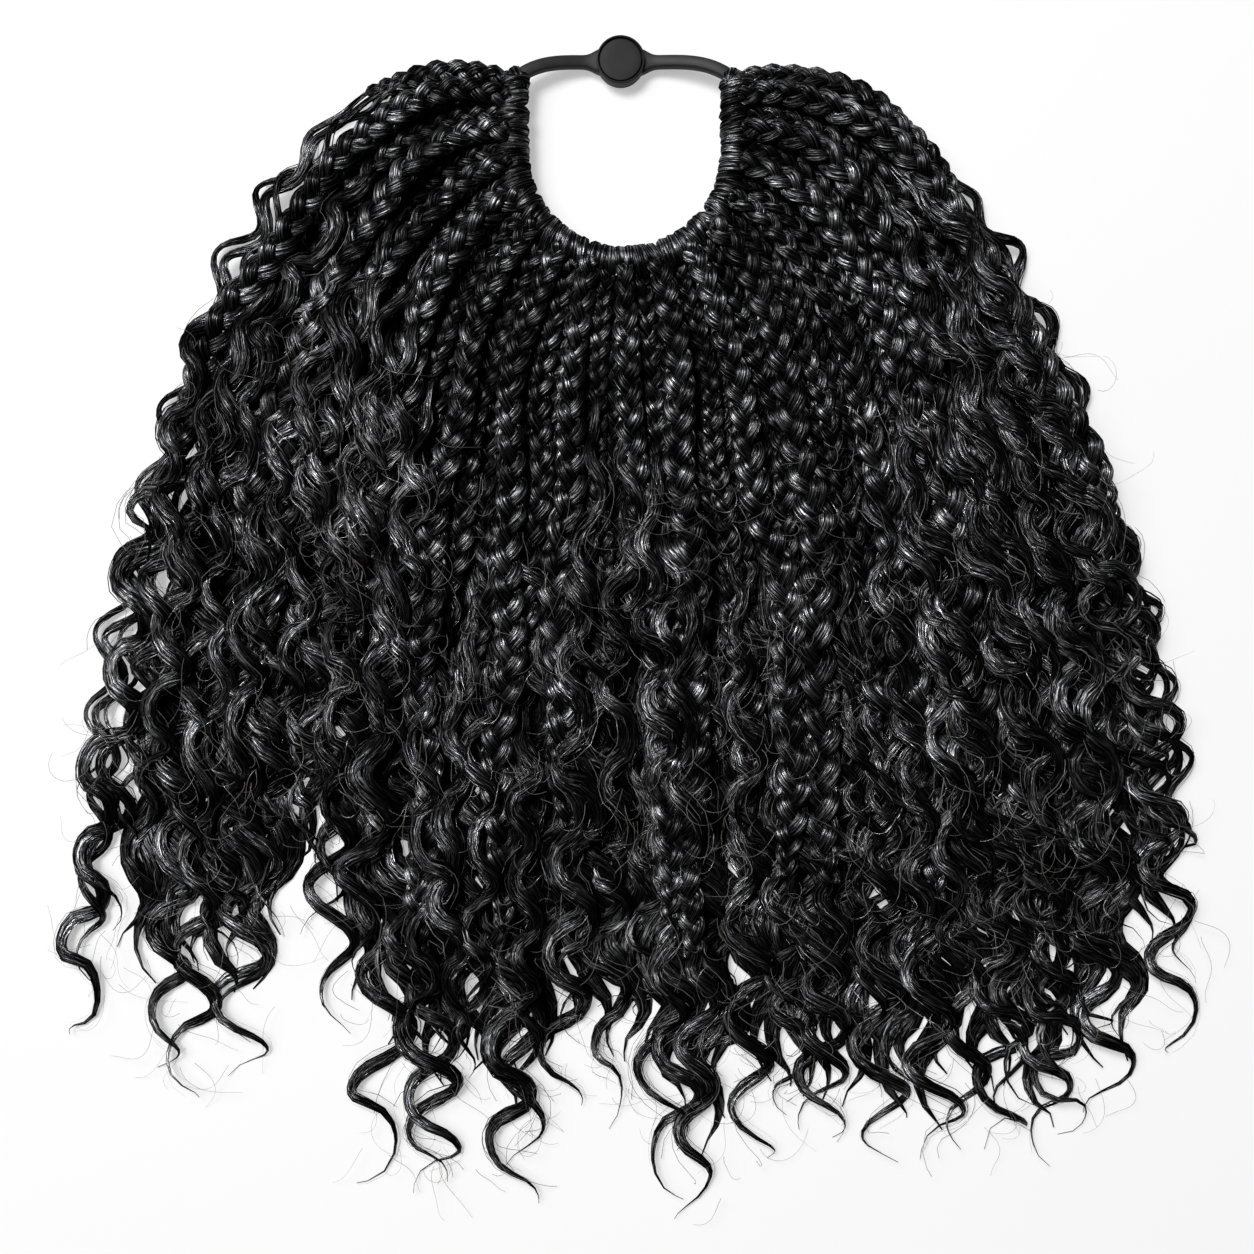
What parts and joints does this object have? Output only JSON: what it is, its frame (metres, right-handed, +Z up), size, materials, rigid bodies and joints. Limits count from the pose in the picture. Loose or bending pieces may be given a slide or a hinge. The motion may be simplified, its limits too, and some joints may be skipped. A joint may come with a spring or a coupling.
{
  "type": "braided curly ponytail",
  "caption": "Hairpiece of black plaits with curly ends, looped round an elastic band that closes on a round button, laid flat with its loop open.",
  "frame": {"origin": "centre of the underside of the whole part's box, on the surface it lies on", "axes": "+Z up off the surface, +Y from the curls towards the button, +X to the right as seen from above"},
  "size_m": [0.3384, 0.3512, 0.0213],
  "materials": {
    "hair": "satin fibre",
    "band": "matte silicone",
    "button": "fine matte"
  },
  "bodies": {
    "root": {"elastic_band": "band", "button": "button", "braid_01": "hair", "braid_02": "hair", "braid_03": "hair", "braid_04": "hair", "braid_05": "hair", "braid_06": "hair", "braid_07": "hair", "braid_08": "hair", "braid_09": "hair", "braid_10": "hair", "braid_11": "hair", "braid_12": "hair", "braid_13": "hair", "braid_14": "hair", "braid_15": "hair", "braid_16": "hair", "braid_17": "hair", "braid_18": "hair", "braid_19": "hair", "braid_20": "hair", "braid_21": "hair", "braid_22": "hair", "braid_23": "hair", "braid_24": "hair", "braid_25": "hair", "braid_26": "hair", "braid_27": "hair", "braid_28": "hair", "braid_29": "hair", "braid_30": "hair", "braid_31": "hair"}
  },
  "joints": []
}
